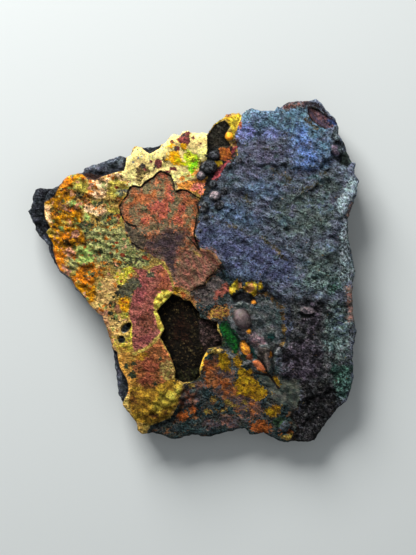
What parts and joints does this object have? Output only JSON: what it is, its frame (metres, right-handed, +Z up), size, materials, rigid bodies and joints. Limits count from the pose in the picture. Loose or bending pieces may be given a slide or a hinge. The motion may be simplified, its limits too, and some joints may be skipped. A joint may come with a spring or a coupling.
{
  "type": "turgite mineral specimen",
  "caption": "Broken plate of iridescent turgite that lies on its back, with a bumpy blue-black crust, yellow and rust layers, round lumps and a black pit on its face.",
  "frame": {"origin": "middle of the bounding box in X and Y, at the level of the surface that the stone rests on", "axes": "+Z up, the way the crusted face looks; +Y towards the specimen's top edge and +X towards its right, as the face is seen from above"},
  "size_m": [0.0928, 0.0964, 0.0135],
  "materials": {
    "iridescent_iron_oxide": "bumpy natural crust with a dull metallic sheen, blue-black to violet on the right, yellow, cream, rust and maroon on the left, and dark brown broken sides"
  },
  "bodies": {
    "root": {"turgite": "iridescent_iron_oxide"}
  },
  "joints": []
}
